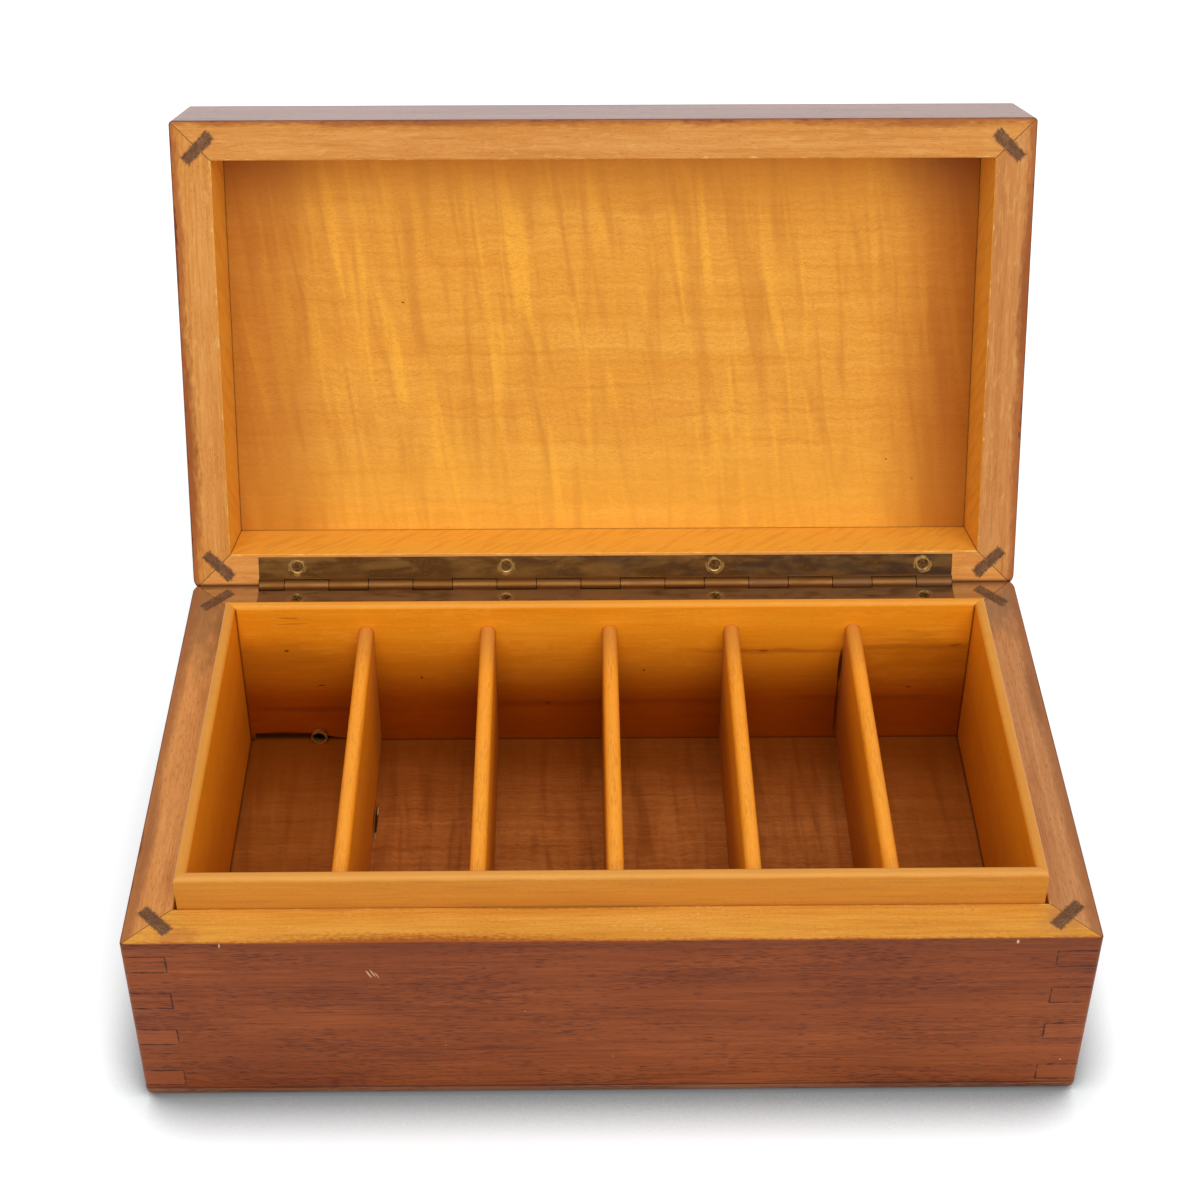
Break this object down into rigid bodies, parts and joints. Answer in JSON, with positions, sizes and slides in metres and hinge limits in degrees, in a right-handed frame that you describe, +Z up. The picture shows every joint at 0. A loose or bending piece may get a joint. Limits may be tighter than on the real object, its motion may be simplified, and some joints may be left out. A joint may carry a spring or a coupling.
{
  "type": "silverware chest",
  "caption": "Low wooden chest with a hinged lid that leans open on its back edges, and a raised inner lining with upright dividers for flatware.",
  "frame": {"origin": "on the surface the chest stands on, in the middle of the base's underside", "axes": "+X along the chest's length, to the right for someone facing its front; -Y out of its front; +Z up"},
  "size_m": [0.4, 0.3566, 0.3101],
  "materials": {
    "mahogany_stain": "red-brown mahogany stain under satin varnish, golden bare wood on the rims",
    "golden_lining_wood": "golden varnished hardwood",
    "figured_maple": "golden varnished maple with a curly figure",
    "dark_tongue_wood": "dark end grain, planed flush with the rim",
    "key_wood": "mahogany, planed flush and varnished with the case",
    "plain_softwood": "plain sawn softwood, out of sight",
    "aged_brass": "tarnished brass, rubbed bright on its edges",
    "screw_brass": "tarnished brass screws with worn cross recesses"
  },
  "bodies": {
    "base": {"base_front_board": "mahogany_stain", "base_back_board": "mahogany_stain", "base_left_board": "mahogany_stain", "base_right_board": "mahogany_stain", "bottom_board": "mahogany_stain", "floor_board": "golden_lining_wood", "floor_bearer_left": "plain_softwood", "floor_bearer_middle": "plain_softwood", "floor_bearer_right": "plain_softwood", "base_tongue_front_left": "dark_tongue_wood", "base_tongue_front_right": "dark_tongue_wood", "base_tongue_back_right": "dark_tongue_wood", "base_tongue_back_left": "dark_tongue_wood", "base_corner_keys_front_left": "key_wood", "base_corner_keys_front_right": "key_wood", "base_corner_keys_back_right": "key_wood", "base_corner_keys_back_left": "key_wood", "liner_front": "golden_lining_wood", "liner_back": "golden_lining_wood", "liner_left": "golden_lining_wood", "liner_right": "golden_lining_wood", "divider_1": "golden_lining_wood", "divider_2": "golden_lining_wood", "divider_3": "golden_lining_wood", "divider_4": "golden_lining_wood", "divider_5": "golden_lining_wood", "back_filler_strip": "golden_lining_wood", "liner_ferrule": "aged_brass", "hinge_lower_leaf": "aged_brass", "hinge_pin": "aged_brass", "hinge_lower_screws": "screw_brass"},
    "lid": {"lid_front_board": "mahogany_stain", "lid_back_board": "mahogany_stain", "lid_left_board": "mahogany_stain", "lid_right_board": "mahogany_stain", "lid_top_board": "mahogany_stain", "lid_inner_panel": "figured_maple", "lid_tongue_front_left": "dark_tongue_wood", "lid_tongue_front_right": "dark_tongue_wood", "lid_tongue_back_right": "dark_tongue_wood", "lid_tongue_back_left": "dark_tongue_wood", "lid_corner_keys_front_left": "key_wood", "lid_corner_keys_front_right": "key_wood", "lid_corner_keys_back_right": "key_wood", "lid_corner_keys_back_left": "key_wood", "hinge_upper_leaf": "aged_brass", "hinge_upper_screws": "screw_brass"}
  },
  "joints": [
    {"name": "lid_hinge", "type": "hinge", "parent": "base", "child": "lid", "pos_m": [0, 0.1119, 0.09815], "axis": [1, 0, 0], "range_deg": [0, 110.3]}
  ]
}
